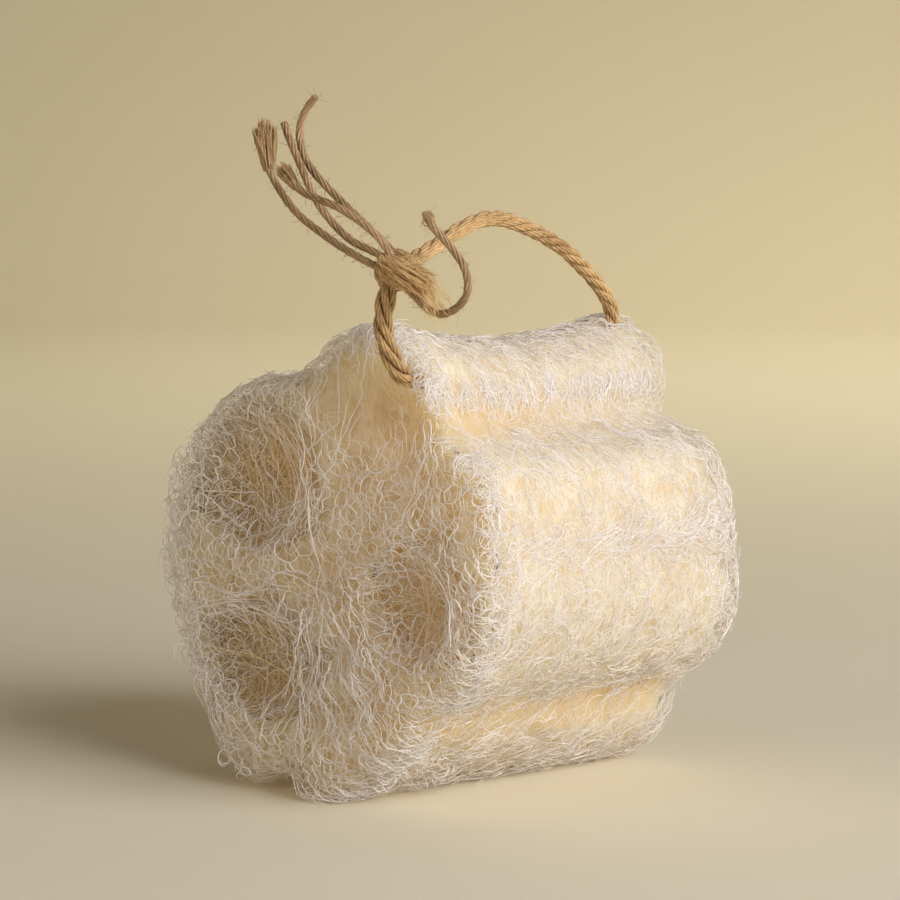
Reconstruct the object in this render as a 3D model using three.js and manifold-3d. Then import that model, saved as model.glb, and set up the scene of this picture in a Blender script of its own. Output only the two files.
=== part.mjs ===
// Natural loofah sponge: a short cut length of dried loofah gourd with a hanging loop of jute twine.
// Millimetres, +Z up. The gourd's axis lies along Y, with its cut faces at -Y and +Y.
// The origin is under the middle of the sponge, on the surface that the sponge stands on.

import * as THREE from 'three';
import { mergeVertices } from 'three/addons/utils/BufferGeometryUtils.js';
import Module from 'manifold-3d';

const wasm = await Module();
wasm.setup();

// Sponge body
const LENGTH = 88;
const RIM_REACH = 6; // length of wall that curves in towards each cut face
const RIM_INSET = 2.4;
const CREST_SAG = 5; // dip of the top between its two ends
const CREST_FROM = 84; // heights between which the dip sets in
const CREST_TO = 96;
const BELLY_SWELL = 0.012; // how much the wall swells half way along, as a share of its radius
const CORE = [-0.4, 46]; // x, z of the fibrous core that the cut faces radiate from
const NET_SEED = 5260;

// Outline across the length, as [x, z] at each cut face, from the widest point of the +X wall
// and counter-clockwise as seen from the front
const OUTLINE = [
  { front: [48.1, 56], back: [42.6, 46] },
  { front: [45.1, 71], back: [36.1, 70] },
  { front: [32.1, 80.5], back: [20.1, 77.5] },
  { front: [28.6, 92], back: [22.1, 86] },
  { front: [16.6, 100.5], back: [9.6, 98.6] },
  { front: [1.6, 96], back: [-4.4, 95] },
  { front: [-11.4, 87.5], back: [-16.4, 88] },
  { front: [-21.4, 87.5], back: [-26.4, 85] },
  { front: [-36.4, 78], back: [-37.4, 73] },
  { front: [-47.1, 60], back: [-44.4, 55] },
  { front: [-47.4, 42], back: [-43.4, 38] },
  { front: [-39.9, 23], back: [-37.4, 22] },
  { front: [-32.4, 7.5], back: [-28.4, 7] },
  { front: [-22.4, 0.4], back: [-18.4, -0.8] },
  { front: [-12.9, 4.6], back: [-8.4, 4.5] },
  { front: [-3.4, -1], back: [0.6, -1.2] },
  { front: [7.6, 4.2], back: [11.6, -0.5] },
  { front: [22.1, 13], back: [23.6, 8.5] },
  { front: [28.6, 20.5], back: [25.6, 17] },
  { front: [40.1, 30], back: [37.6, 25.5] },
  { front: [46.6, 42.5], back: [43.1, 36.5] },
];

// Raised net of fibre strands round sunk pits, on the wall and on the cut faces
const WALL_COLUMNS = 80;
const WALL_ROWS = 25;
const FACE_RINGS = [
  { reach: 0.9, columns: 80 },
  { reach: 0.8, columns: 40 },
  { reach: 0.68, columns: 40 },
  { reach: 0.55, columns: 40 },
  { reach: 0.42, columns: 20 },
  { reach: 0.27, columns: 20 },
  { reach: 0.12, columns: 10 },
];
const WALL_PIT_DEPTH = 2.6;
const FACE_PIT_DEPTH = 3.6;
const PIT_SPREAD = 0.35; // how much the pits differ in depth, as a share of it
const STRAND_ROUGHNESS = 0.35;
const STRAND_WANDER = 0.8;

// Smooth hollow in the front cut face, under the top roll
const HOLLOW = { centre: [19.6, 80], radius: 9, depth: 6 };

// Strip under the sponge that it rests on, where the net is pressed flat
const REST_STRIP = { centre: 2.6, halfWidth: 12, height: 3 };

// Three seed chambers that run through the sponge, as x, z and radii at each cut face
const CHAMBERS = [
  { front: [-21.9, 65.5], back: [-18.8, 62.5], frontRadii: [16.2, 14], backRadii: [16.3, 13.5] },
  { front: [-20.4, 27.5], back: [-16.8, 26], frontRadii: [15.3, 11], backRadii: [14.5, 10.8] },
  { front: [25, 43.3], back: [20.4, 46], frontRadii: [12, 11.3], backRadii: [13, 12.3] },
];
const CHAMBER_SIDES = 16;
const CHAMBER_STEPS = 11;
const CHAMBER_OVERRUN = 9; // how far the cut runs past each face
const CHAMBER_ROUGHNESS = 0.07;
const MOUTH_FLARE = 0.08;

// Jute twine
const TWINE_RADIUS = 1.75;
const STRAND_RADIUS = 0.9;
const TWINE_SIDES = 8;
const CLEARANCE = 0.35;

// Route of the loop: from the knot down the front, through the top of the sponge, out at the back
// and over the top to the knot again
const LOOP_ROUTE = [
  [25.4, -47.6, 108.6],
  [24.8, -48.8, 104.4],
  [24.8, -49.4, 100.4],
  [25.5, -49.3, 96.6],
  [26.1, -48.1, 92.9],
  [25.2, -44.8, 89.9],
  [23.2, -39, 88.3],
  [20.4, -29, 87.6],
  [17.8, -17, 87.4],
  [15.6, -5, 87.4],
  [13.8, 7, 87.5],
  [12.4, 18, 87.8],
  [11.3, 27, 88.8],
  [10.6, 33.6, 91.4],
  [10.4, 36.4, 95],
  [10.7, 35.6, 99],
  [11.6, 31, 103.4],
  [12.6, 24.7, 107.6],
  [14, 15.2, 112.8],
  [15.8, 0.7, 117.8],
  [17.2, -10, 119.4],
  [18.3, -18.8, 118],
  [19.5, -28, 114.9],
  [21.6, -37, 112.2],
  [24, -43.5, 110.8],
];
const LOOP_STEPS = 44;

// Knot, with the cut end of the twine that stands out of it
const KNOT = {
  centre: [25.2, -46.6, 110.4],
  radii: [4.2, 3.4, 3.9],
  wraps: [
    { radius: 3.3, thickness: 1.45, turn: [0.2, 0.9, 0.3] },
    { radius: 3.4, thickness: 1.4, turn: [1.15, -0.5, 0.4] },
  ],
  cutEnd: { tip: [36.8, -49.6, 109.2], rootRadius: 2.3, tipRadius: 3.3 },
};

// Loose strands of the untwisted ends, from the knot outwards
const TAILS = [
  {
    name: 'twine_tail_brush',
    route: [
      [24, -47.1, 110.3],
      [22, -47.4, 110.8],
      [16.5, -47.4, 112.6],
      [10.8, -47.3, 114.8],
      [5.1, -47.2, 117.4],
      [-0.7, -47, 120.4],
      [-5.2, -46.8, 123.9],
      [-8.7, -46.5, 127.5],
      [-11.3, -46.2, 131.1],
      [-12.4, -46, 133.5],
    ],
    brush: { from: [-11.6, -46.1, 131.8], to: [-11.1, -46, 139], fromRadius: 1.1, toRadius: 2.5 },
  },
  {
    name: 'twine_tail_middle',
    route: [
      [22.9, -45, 112],
      [17.3, -44.8, 113.9],
      [11.5, -44.6, 115.7],
      [6.6, -44.4, 118.6],
      [2.1, -44.2, 122.4],
      [-1.2, -44, 126.4],
      [-4, -43.5, 130.3],
      [-7, -42.7, 133.9],
      [-9.4, -41.9, 136.7],
      [-10.8, -41.6, 139],
    ],
  },
  {
    name: 'twine_tail_long',
    route: [
      [23.6, -44, 113],
      [17.9, -42.8, 116.1],
      [12.7, -42.3, 119.1],
      [7, -42, 122.7],
      [2, -41.8, 126],
      [-2.6, -41.5, 129.3],
      [-6, -40.9, 132.9],
      [-7.7, -40.2, 136.5],
      [-7.2, -39.8, 140],
      [-5.4, -39.6, 142.7],
      [-3.6, -39.5, 144.2],
    ],
  },
  {
    name: 'twine_tail_short',
    route: [
      [25.6, -47.4, 112.8],
      [22.6, -48.6, 117],
      [17.2, -49.5, 120.6],
      [11.9, -49.6, 122.8],
      [6.9, -49.6, 124.1],
      [2.6, -49.5, 125.4],
      [-0.9, -49.4, 127.7],
    ],
    brush: { from: [0, -49.4, 127.1], to: [-3.8, -49.3, 130.6], fromRadius: 1, toRadius: 1.6 },
  },
  {
    name: 'twine_curl',
    route: [
      [29, -47.8, 107.9],
      [33.2, -48.2, 105],
      [36.8, -48.8, 103.2],
      [40.4, -49, 102.7],
      [43.8, -49, 103.9],
      [46.2, -48.8, 106.2],
      [46.5, -48.5, 108.9],
      [45, -48, 112],
      [41.7, -47.5, 115],
      [38, -47, 117.6],
      [35.2, -46.5, 119.5],
      [33.1, -46, 121.3],
    ],
  },
];
const TAIL_STEPS = 16;
const BRUSH_SIDES = 8;

// Colours and surfaces
const spongeMaterial = new THREE.MeshStandardMaterial({ color: 0xe8dcc2, roughness: 0.95, metalness: 0 });
const twineMaterial = new THREE.MeshStandardMaterial({ color: 0xb98d55, roughness: 0.9, metalness: 0 });

// Seeded random numbers from 0 to 1
function seededRandom(seed) {
  let state = seed;
  return () => {
    state = (state + 0x6d2b79f5) | 0;
    let mixed = Math.imul(state ^ (state >>> 15), 1 | state);
    mixed = (mixed + Math.imul(mixed ^ (mixed >>> 7), 61 | mixed)) ^ mixed;
    return ((mixed ^ (mixed >>> 14)) >>> 0) / 4294967296;
  };
}

const random = seededRandom(NET_SEED);
const spread = (size) => size * (2 * random() - 1);

// Solids and meshes
function volumeOf(positions, triangles) {
  const corner = (index) => new THREE.Vector3().fromArray(positions, 3 * index);
  let volume = 0;
  for (let i = 0; i < triangles.length; i += 3) {
    const [a, b, c] = [0, 1, 2].map((k) => corner(triangles[i + k]));
    volume += a.dot(b.cross(c)) / 6;
  }
  return volume;
}

function toSolid(geometry) {
  const bare = geometry.clone();
  bare.deleteAttribute('normal');
  bare.deleteAttribute('uv');
  const merged = mergeVertices(bare, 1e-4);
  const vertProperties = new Float32Array(merged.attributes.position.array);
  const triVerts = new Uint32Array(merged.index.array);
  if (volumeOf(vertProperties, triVerts) < 0) {
    for (let i = 0; i < triVerts.length; i += 3) {
      [triVerts[i], triVerts[i + 1]] = [triVerts[i + 1], triVerts[i]];
    }
  }
  return new wasm.Manifold(new wasm.Mesh({ numProp: 3, vertProperties, triVerts }));
}

function toMesh(solid, name, material) {
  const { vertProperties, triVerts } = solid.getMesh();
  const geometry = new THREE.BufferGeometry();
  geometry.setAttribute('position', new THREE.BufferAttribute(vertProperties, 3));
  geometry.setIndex(new THREE.BufferAttribute(triVerts, 1));
  geometry.computeVertexNormals();
  const mesh = new THREE.Mesh(geometry, material);
  mesh.name = name;
  return mesh;
}

function middleOf(points) {
  const middle = new THREE.Vector3();
  points.forEach((point) => middle.add(point));
  return middle.divideScalar(points.length);
}

// Closed skin over a row of rings, each with as many points as the next, or twice or half as many.
// Each four-sided patch is split along its deeper diagonal, which keeps the pits open to their strands.
function skinGeometry(rings) {
  const positions = [];
  const triangles = [];
  const starts = [];
  for (const ring of rings) {
    starts.push(positions.length / 3);
    ring.forEach((point) => positions.push(...point.toArray()));
  }
  const heart = middleOf(rings.flat());
  const corner = (index) => new THREE.Vector3().fromArray(positions, 3 * index);
  const depth = (a, b) => middleOf([corner(a), corner(b)]).distanceTo(heart);
  for (let r = 0; r + 1 < rings.length; r += 1) {
    const [near, far] = [rings[r].length, rings[r + 1].length];
    const nearPoint = (k) => starts[r] + (k % near);
    const farPoint = (k) => starts[r + 1] + (k % far);
    for (let k = 0; k < Math.min(near, far); k += 1) {
      if (near === far) {
        const [a, b, c, d] = [nearPoint(k), nearPoint(k + 1), farPoint(k + 1), farPoint(k)];
        if (depth(a, c) < depth(b, d)) triangles.push(a, b, c, a, c, d);
        else triangles.push(a, b, d, b, c, d);
      } else if (near < far) {
        triangles.push(nearPoint(k), farPoint(2 * k + 1), farPoint(2 * k));
        triangles.push(nearPoint(k), nearPoint(k + 1), farPoint(2 * k + 1));
        triangles.push(nearPoint(k + 1), farPoint(2 * k + 2), farPoint(2 * k + 1));
      } else {
        triangles.push(nearPoint(2 * k), nearPoint(2 * k + 1), farPoint(k));
        triangles.push(nearPoint(2 * k + 1), farPoint(k + 1), farPoint(k));
        triangles.push(nearPoint(2 * k + 1), nearPoint(2 * k + 2), farPoint(k + 1));
      }
    }
  }
  const closeEnd = (ringIndex, turned) => {
    const ring = rings[ringIndex];
    positions.push(...middleOf(ring).toArray());
    const pole = positions.length / 3 - 1;
    for (let k = 0; k < ring.length; k += 1) {
      const edge = [starts[ringIndex] + k, starts[ringIndex] + ((k + 1) % ring.length)];
      triangles.push(pole, ...(turned ? edge.reverse() : edge));
    }
  };
  closeEnd(0, true);
  closeEnd(rings.length - 1, false);
  const geometry = new THREE.BufferGeometry();
  geometry.setAttribute('position', new THREE.Float32BufferAttribute(positions, 3));
  geometry.setIndex(triangles);
  return geometry;
}

// Outline of the sponge at a share of the way from the front face to the back face
function outlineAt(share) {
  const sag = CREST_SAG * Math.sin(Math.PI * share);
  const swell = 1 + BELLY_SWELL * Math.sin(Math.PI * share);
  const points = OUTLINE.map(({ front, back }) => {
    const x = THREE.MathUtils.lerp(front[0], back[0], share);
    const z = THREE.MathUtils.lerp(front[1], back[1], share);
    const crest = THREE.MathUtils.smoothstep(z, CREST_FROM, CREST_TO);
    return new THREE.Vector3(x * swell, 0, z - sag * crest);
  });
  return new THREE.CatmullRomCurve3(points, true, 'centripetal');
}

// Points of a ring of the net: sunk at every other point of every other ring, raised elsewhere
function netRing(points, ringIndex, pitDepth, outwards) {
  const pitRing = ringIndex % 2 === 1;
  const offset = (ringIndex >> 1) % 2;
  return points.map((point, column) => {
    const pit = pitRing && (column + offset) % 2 === 0;
    const lift = pit ? -pitDepth * (1 + spread(PIT_SPREAD)) : spread(STRAND_ROUGHNESS);
    const resting = point.z < REST_STRIP.height
      && Math.abs(point.x - REST_STRIP.centre) < REST_STRIP.halfWidth;
    const moved = point.clone().addScaledVector(outwards(point), resting ? 0 : lift);
    moved.x += spread(STRAND_WANDER) * (1 - Math.abs(outwards(point).x));
    moved.y += spread(STRAND_WANDER) * (1 - Math.abs(outwards(point).y));
    return moved;
  });
}

function fromCore(point) {
  return new THREE.Vector3(point.x - CORE[0], 0, point.z - CORE[1]).normalize();
}

function outlinePoints(share, columns, y, inset) {
  const curve = outlineAt(share);
  return Array.from({ length: columns }, (_, column) => {
    const point = curve.getPoint(column / columns);
    point.addScaledVector(fromCore(point), -inset);
    return point.setY(y);
  });
}

// Rings of one cut face, from its rim towards the core
function faceRings(share, firstIndex) {
  const side = share === 0 ? -1 : 1;
  const outwards = () => new THREE.Vector3(0, side, 0);
  return FACE_RINGS.map(({ reach, columns }, ring) => {
    const points = outlinePoints(share, columns, (side * LENGTH) / 2, RIM_INSET).map((point) => {
      point.x = THREE.MathUtils.lerp(CORE[0], point.x, reach);
      point.z = THREE.MathUtils.lerp(CORE[1], point.z, reach);
      if (side < 0) {
        const away = Math.hypot(point.x - HOLLOW.centre[0], point.z - HOLLOW.centre[1]);
        point.y += HOLLOW.depth * Math.exp(-((away / HOLLOW.radius) ** 2));
      }
      return point;
    });
    return netRing(points, firstIndex + ring, FACE_PIT_DEPTH, outwards);
  });
}

function spongeBlank() {
  const wall = Array.from({ length: WALL_ROWS + 1 }, (_, row) => {
    const share = row / WALL_ROWS;
    const toEnd = Math.min(share, 1 - share) * LENGTH;
    const inset = RIM_INSET * Math.max(0, 1 - toEnd / RIM_REACH) ** 2;
    const points = outlinePoints(share, WALL_COLUMNS, (share - 0.5) * LENGTH, inset);
    return netRing(points, row, WALL_PIT_DEPTH, fromCore);
  });
  const front = faceRings(0, 1).reverse();
  const back = faceRings(1, WALL_ROWS + 1);
  return toSolid(skinGeometry([...front, ...wall, ...back]));
}

function seedChamber({ front, back, frontRadii, backRadii }) {
  const reach = LENGTH / 2 + CHAMBER_OVERRUN;
  const rings = Array.from({ length: CHAMBER_STEPS + 1 }, (_, step) => {
    const share = step / CHAMBER_STEPS;
    const flare = 1 + MOUTH_FLARE * Math.abs(2 * share - 1) ** 5;
    const mix = (a, b, k) => THREE.MathUtils.lerp(a[k], b[k], share);
    return Array.from({ length: CHAMBER_SIDES }, (_side, k) => {
      const angle = (2 * Math.PI * k) / CHAMBER_SIDES;
      const size = flare * (1 + spread(CHAMBER_ROUGHNESS));
      return new THREE.Vector3(
        mix(front, back, 0) + mix(frontRadii, backRadii, 0) * size * Math.cos(angle),
        THREE.MathUtils.lerp(-reach, reach, share),
        mix(front, back, 1) + mix(frontRadii, backRadii, 1) * size * Math.sin(angle),
      );
    });
  });
  return toSolid(skinGeometry(rings));
}

// Round cord along a route
function cordGeometry(route, radius, steps) {
  const section = new THREE.Shape();
  for (let k = 0; k < TWINE_SIDES; k += 1) {
    const angle = (2 * Math.PI * (k + 0.5)) / TWINE_SIDES;
    const corner = [radius * Math.cos(angle), radius * Math.sin(angle)];
    if (k === 0) section.moveTo(...corner);
    else section.lineTo(...corner);
  }
  section.closePath();
  const path = new THREE.CatmullRomCurve3(route.map((point) => new THREE.Vector3(...point)));
  return new THREE.ExtrudeGeometry(section, { extrudePath: path, steps, bevelEnabled: false });
}

// Tapered bunch of cut fibres between two points
function bunchGeometry(from, to, fromRadius, toRadius) {
  const start = new THREE.Vector3(...from);
  const along = new THREE.Vector3(...to).sub(start);
  const bunch = new THREE.CylinderGeometry(toRadius, fromRadius, along.length(), BRUSH_SIDES);
  const upright = new THREE.Vector3(0, 1, 0);
  const turn = new THREE.Quaternion().setFromUnitVectors(upright, along.clone().normalize());
  bunch.applyQuaternion(turn);
  const middle = start.addScaledVector(along, 0.5);
  return bunch.translate(...middle.toArray());
}

function knotSolid(margin) {
  const [rx, ry, rz] = KNOT.radii.map((radius) => radius + margin);
  const body = new THREE.SphereGeometry(1, 12, 8).scale(rx, ry, rz);
  let knot = toSolid(body.translate(...KNOT.centre));
  for (const { radius, thickness, turn } of KNOT.wraps) {
    const wrap = new THREE.TorusGeometry(radius, thickness + margin, 8, 14);
    wrap.rotateX(turn[0]).rotateY(turn[1]).rotateZ(turn[2]).translate(...KNOT.centre);
    knot = knot.add(toSolid(wrap));
  }
  const { tip, rootRadius, tipRadius } = KNOT.cutEnd;
  const stub = bunchGeometry(KNOT.centre, tip, rootRadius + margin, tipRadius + margin);
  return knot.add(toSolid(stub));
}

// Sponge: the net-covered body, opened by the seed chambers and the way of the twine, and cut flat
// where it rests
const bore = toSolid(cordGeometry(LOOP_ROUTE, TWINE_RADIUS + CLEARANCE, LOOP_STEPS));
const ground = toSolid(new THREE.BoxGeometry(3 * LENGTH, 3 * LENGTH, LENGTH).translate(0, 0, -LENGTH / 2));
let sponge = spongeBlank().subtract(bore).subtract(ground);
for (const chamber of CHAMBERS) {
  sponge = sponge.subtract(seedChamber(chamber));
}

// Twine: the loop, the knot and the loose strands, each clear of the knot
const knotRoom = knotSolid(CLEARANCE);
const loop = toSolid(cordGeometry(LOOP_ROUTE, TWINE_RADIUS, LOOP_STEPS)).subtract(knotRoom);

function tailSolid({ route, brush }) {
  let tail = toSolid(cordGeometry(route, STRAND_RADIUS, TAIL_STEPS));
  if (brush) {
    tail = tail.add(toSolid(bunchGeometry(brush.from, brush.to, brush.fromRadius, brush.toRadius)));
  }
  return tail.subtract(knotRoom);
}

const loofah = new THREE.Group();
loofah.add(toMesh(sponge, 'sponge', spongeMaterial));
loofah.add(toMesh(loop, 'twine_loop', twineMaterial));
loofah.add(toMesh(knotSolid(0), 'twine_knot', twineMaterial));
for (const tail of TAILS) {
  loofah.add(toMesh(tailSolid(tail), tail.name, twineMaterial));
}

export default loofah;
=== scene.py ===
import math

import bmesh
import bpy
import numpy as np
from mathutils import Euler, Matrix, Vector, geometry, noise
from mathutils.bvhtree import BVHTree


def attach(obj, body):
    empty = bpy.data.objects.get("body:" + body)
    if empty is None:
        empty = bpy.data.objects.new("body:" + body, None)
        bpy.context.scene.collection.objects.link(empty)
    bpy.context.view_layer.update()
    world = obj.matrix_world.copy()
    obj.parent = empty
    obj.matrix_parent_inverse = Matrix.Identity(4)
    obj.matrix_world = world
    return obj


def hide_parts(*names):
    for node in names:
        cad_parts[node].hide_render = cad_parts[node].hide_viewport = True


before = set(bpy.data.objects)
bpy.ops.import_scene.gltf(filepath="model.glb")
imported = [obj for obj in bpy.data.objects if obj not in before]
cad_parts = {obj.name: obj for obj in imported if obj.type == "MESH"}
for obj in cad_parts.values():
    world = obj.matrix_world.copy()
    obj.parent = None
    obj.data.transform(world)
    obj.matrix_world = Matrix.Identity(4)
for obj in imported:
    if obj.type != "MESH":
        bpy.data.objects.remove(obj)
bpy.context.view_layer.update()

# Mat of the sponge
# A slice of dried gourd: close-felted plant fibre pierced by three seed chambers, with a darker tan
# painted as shade in its pits, grooves and chambers and on its cut faces.
# It is the sponge's own form drawn in a little and pitted, and the fibres below lie over it.
MAT_VOXEL = 0.0015
FACE_Y = 0.044
FACE_RECESS = 0.92
WALL_RECESS = 0.0005
PIT_DEPTH = 0.0012
CORE = Vector((0, 0, 0.046))
CHAMBERS = {  # middle (x, z) and half-widths of each chamber at the front and the back cut face
    -1: (
        (-0.0219, 0.0655, 0.0175, 0.0151),
        (-0.0204, 0.0275, 0.0165, 0.0119),
        (0.0250, 0.0433, 0.0130, 0.0122),
    ),
    1: (
        (-0.0188, 0.0625, 0.0176, 0.0146),
        (-0.0168, 0.0260, 0.0157, 0.0117),
        (0.0204, 0.0460, 0.0140, 0.0133),
    ),
}
CHAMBER_ROD = 0.13
GROOVES = (((0.0315, 0, 0.0825), 0.0058), ((0.0260, 0, 0.0165), 0.0048))  # along the wall
PIT_CELLS = 260  # to the metre
WALL_PORES = 380
PORE_DEPTH = 0.026
# Least shares of the painted shade, a darker tan, in the chambers, on the cut faces and in the
# grooves.
CHAMBER_SHADE = 0.75  # least share of the tan painted shade in the chambers
FACE_SHADE = 0.5
GROOVE_SHADE = 0.7

sponge_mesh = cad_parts["sponge"].data.copy()
bm = bmesh.new()
bm.from_mesh(sponge_mesh)
bmesh.ops.remove_doubles(bm, verts=bm.verts, dist=1e-6)
bm.to_mesh(sponge_mesh)
bm.free()


def link(name, data):
    obj = bpy.data.objects.new(name, data)
    bpy.context.scene.collection.objects.link(obj)
    return obj


def evaluated(obj):
    mesh = bpy.data.meshes.new_from_object(obj.evaluated_get(bpy.context.evaluated_depsgraph_get()))
    bpy.data.objects.remove(obj)
    return mesh


def felted(mesh, rounds):
    obj = link("felt", mesh)
    remesh = obj.modifiers.new("Remesh", "REMESH")
    remesh.mode = "VOXEL"
    remesh.voxel_size = MAT_VOXEL
    smooth = obj.modifiers.new("Smooth", "SMOOTH")
    smooth.factor = 0.5
    smooth.iterations = rounds
    return evaluated(obj)


def node_group(name, inputs, outputs):
    group = bpy.data.node_groups.new(name, "ShaderNodeTree")
    for label in inputs:
        group.interface.new_socket(label, in_out="INPUT", socket_type="NodeSocketColor")
    for label in outputs:
        kind = "NodeSocketColor" if label == "Colour" else "NodeSocketFloat"
        group.interface.new_socket(label, in_out="OUTPUT", socket_type=kind)
    return group, group.nodes, group.links


def tint_group():
    group, nodes, links = node_group("fibre tint", ("Light", "Dark"), ("Colour", "Grain"))
    given = nodes.new("NodeGroupInput")
    out = nodes.new("NodeGroupOutput")
    place = nodes.new("ShaderNodeTexCoord")
    patches = nodes.new("ShaderNodeTexNoise")
    patches.inputs["Scale"].default_value = 90
    patches.inputs["Detail"].default_value = 2
    grain = nodes.new("ShaderNodeTexNoise")
    grain.inputs["Scale"].default_value = 900
    grain.inputs["Detail"].default_value = 2
    both = nodes.new("ShaderNodeMath")
    both.operation = "MULTIPLY_ADD"
    both.inputs[1].default_value = 0.6
    spread = nodes.new("ShaderNodeMapRange")
    spread.inputs["From Min"].default_value = 0.6
    spread.inputs["From Max"].default_value = 1.0
    mix = nodes.new("ShaderNodeMix")
    mix.data_type = "RGBA"
    links.new(place.outputs["Object"], patches.inputs["Vector"])
    links.new(place.outputs["Object"], grain.inputs["Vector"])
    links.new(grain.outputs["Fac"], both.inputs[0])
    links.new(patches.outputs["Fac"], both.inputs[2])
    links.new(both.outputs["Value"], spread.inputs["Value"])
    links.new(spread.outputs["Result"], mix.inputs["Factor"])
    links.new(given.outputs["Light"], mix.inputs["A"])
    links.new(given.outputs["Dark"], mix.inputs["B"])
    links.new(mix.outputs["Result"], out.inputs["Colour"])
    links.new(grain.outputs["Fac"], out.inputs["Grain"])
    return group


def felt_group():
    group, nodes, links = node_group("felted fibre", ("Light", "Dark"), ("Colour", "Grain"))
    given = nodes.new("NodeGroupInput")
    out = nodes.new("NodeGroupOutput")
    place = nodes.new("ShaderNodeTexCoord")
    layers = []
    for lean, scale in ((-0.7, 620), (0.05, 720), (0.6, 560), (1.4, 480)):
        turned = nodes.new("ShaderNodeMapping")
        turned.inputs["Rotation"].default_value = (lean, 0.1, 0.25 * lean)
        turned.inputs["Scale"].default_value = (1, 1, 0.13)
        wave = nodes.new("ShaderNodeTexNoise")
        wave.inputs["Scale"].default_value = scale
        wave.inputs["Detail"].default_value = 1
        off = nodes.new("ShaderNodeMath")
        off.operation = "SUBTRACT"
        off.inputs[1].default_value = 0.5
        ridge = nodes.new("ShaderNodeMath")
        ridge.operation = "ABSOLUTE"
        line = nodes.new("ShaderNodeMapRange")
        line.inputs["From Min"].default_value = 0.055
        line.inputs["From Max"].default_value = 0.01
        links.new(place.outputs["Object"], turned.inputs["Vector"])
        links.new(turned.outputs["Vector"], wave.inputs["Vector"])
        links.new(wave.outputs["Fac"], off.inputs[0])
        links.new(off.outputs["Value"], ridge.inputs[0])
        links.new(ridge.outputs["Value"], line.inputs["Value"])
        layers.append(line.outputs["Result"])
    top = layers[0]
    for layer in layers[1:]:
        higher = nodes.new("ShaderNodeMath")
        higher.operation = "MAXIMUM"
        links.new(top, higher.inputs[0])
        links.new(layer, higher.inputs[1])
        top = higher.outputs["Value"]
    # In the two grooves the light streaks fade towards the dark tone: painted shade in the creases.
    for groove, reach in GROOVES:
        flat = nodes.new("ShaderNodeVectorMath")
        flat.operation = "MULTIPLY"
        flat.inputs[1].default_value = (1, 0, 1)
        apart = nodes.new("ShaderNodeVectorMath")
        apart.operation = "DISTANCE"
        apart.inputs[1].default_value = groove
        kept = nodes.new("ShaderNodeMapRange")
        kept.interpolation_type = "SMOOTHSTEP"
        kept.inputs["From Min"].default_value = reach * 0.5
        kept.inputs["From Max"].default_value = reach * 1.2
        kept.inputs["To Min"].default_value = 0.25
        groove_shade = nodes.new("ShaderNodeMath")
        groove_shade.operation = "MULTIPLY"
        links.new(place.outputs["Object"], flat.inputs[0])
        links.new(flat.outputs["Vector"], apart.inputs[0])
        links.new(apart.outputs["Value"], kept.inputs["Value"])
        links.new(top, groove_shade.inputs[0])
        links.new(kept.outputs["Result"], groove_shade.inputs[1])
        top = groove_shade.outputs["Value"]
    mix = nodes.new("ShaderNodeMix")
    mix.data_type = "RGBA"
    links.new(top, mix.inputs["Factor"])
    links.new(given.outputs["Dark"], mix.inputs["A"])
    links.new(given.outputs["Light"], mix.inputs["B"])
    links.new(mix.outputs["Result"], out.inputs["Colour"])
    links.new(top, out.inputs["Grain"])
    return group


FIBRE_TINT = tint_group()
FELT = felt_group()


def fibre_material(
    name, light, dark, roughness=0.7, pattern=FIBRE_TINT, bump=0.0, glow=0.0, shade_tone=None, sheer=None
):
    material = bpy.data.materials.new(name)
    material.use_nodes = True
    nodes, links = material.node_tree.nodes, material.node_tree.links
    shader = nodes["Principled BSDF"]
    shader.inputs["Roughness"].default_value = roughness
    shader.inputs["Specular IOR Level"].default_value = 0.25
    if glow:
        shader.inputs["Subsurface Weight"].default_value = 1
        shader.inputs["Subsurface Radius"].default_value = (1.0, 0.93, 0.72)
        shader.inputs["Subsurface Scale"].default_value = glow
    tint = nodes.new("ShaderNodeGroup")
    tint.node_tree = pattern
    tint.inputs["Light"].default_value = (*light, 1)
    tint.inputs["Dark"].default_value = (*dark, 1)
    links.new(tint.outputs["Colour"], shader.inputs["Base Color"])
    # Mixed towards the darker tan by the "pit" attribute: painted shade in the pits, chambers and
    # grooves and on the cut faces.
    if shade_tone:
        pit = nodes.new("ShaderNodeAttribute")
        pit.attribute_name = "pit"
        sunk = nodes.new("ShaderNodeMix")
        sunk.data_type = "RGBA"
        sunk.inputs["B"].default_value = (*shade_tone, 1)
        links.new(pit.outputs["Fac"], sunk.inputs["Factor"])
        links.new(tint.outputs["Colour"], sunk.inputs["A"])
        links.new(sunk.outputs["Result"], shader.inputs["Base Color"])
    if bump:
        relief = nodes.new("ShaderNodeBump")
        relief.inputs["Strength"].default_value = bump
        relief.inputs["Distance"].default_value = 0.0005
        links.new(tint.outputs["Grain"], relief.inputs["Height"])
        links.new(relief.outputs["Normal"], shader.inputs["Normal"])
    if sheer:  # thin fibre lets part of the lamps' light through
        ray = nodes.new("ShaderNodeLightPath")
        clear = nodes.new("ShaderNodeBsdfTransparent")
        clear.inputs["Color"].default_value = (*sheer, 1)
        either = nodes.new("ShaderNodeMixShader")
        links.new(ray.outputs["Is Shadow Ray"], either.inputs[0])
        links.new(shader.outputs["BSDF"], either.inputs[1])
        links.new(clear.outputs["BSDF"], either.inputs[2])
        links.new(either.outputs["Shader"], nodes["Material Output"].inputs["Surface"])
    return material


def part_piece(obj, node):
    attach(obj, "root")
    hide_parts(node)


form_mesh = felted(sponge_mesh.copy(), 12)
bm = bmesh.new()
bm.from_mesh(form_mesh)
FORM = BVHTree.FromBMesh(bm)
bm.free()


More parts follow.
